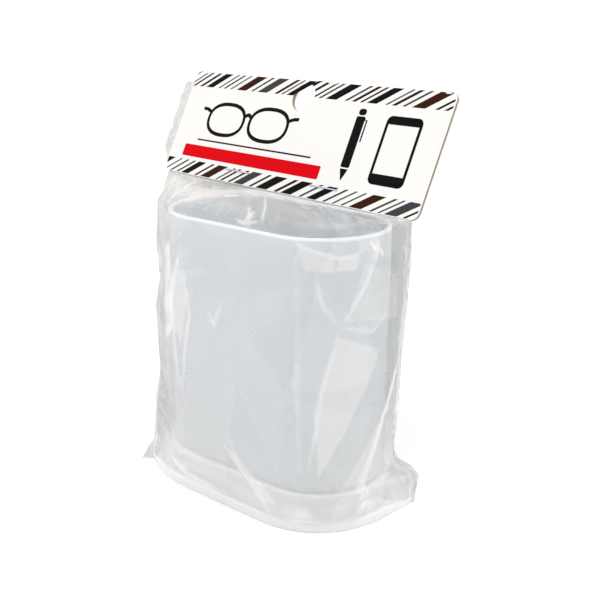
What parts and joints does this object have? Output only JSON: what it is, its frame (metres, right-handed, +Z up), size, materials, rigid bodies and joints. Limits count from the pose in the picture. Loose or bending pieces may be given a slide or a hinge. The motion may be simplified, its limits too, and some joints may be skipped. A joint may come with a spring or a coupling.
{
  "type": "eyeglasses stand",
  "caption": "Oval desk stand of frosted plastic for glasses, in a shallow tray, packed in a clear film bag closed by a stapled folding header card with a hang hole.",
  "frame": {"origin": "middle of the underside, on the surface that the pack stands on", "axes": "+X along the long axis of the oval, +Z up, -Y the side that the printed card faces"},
  "size_m": [0.1332, 0.0632, 0.1449],
  "materials": {
    "frosted_plastic": "milky, half see-through polypropylene with a soft gloss",
    "clear_film": "thin clear glossy packing film, creased and crinkled",
    "printed_card": "coated white card, printed on the face, tan inside",
    "staple_steel": "drawn steel wire"
  },
  "bodies": {
    "stand": {"sleeve": "frosted_plastic", "base_tray": "frosted_plastic", "bag_front_panel": "clear_film", "bag_back_panel": "clear_film", "bag_floor": "clear_film", "bag_corner_left": "clear_film", "bag_corner_right": "clear_film", "bag_neck": "clear_film"},
    "card": {"bag_flat_top": "clear_film", "header_card": "printed_card", "staple_left": "staple_steel", "staple_right": "staple_steel"}
  },
  "joints": [
    {"name": "card_flop", "type": "hinge", "parent": "stand", "child": "card", "pos_m": [0, -0.001, 0.108], "axis": [0.9936, -0.1132, 0], "range_deg": [-48, 100], "deforming": ["bag_neck"]}
  ]
}
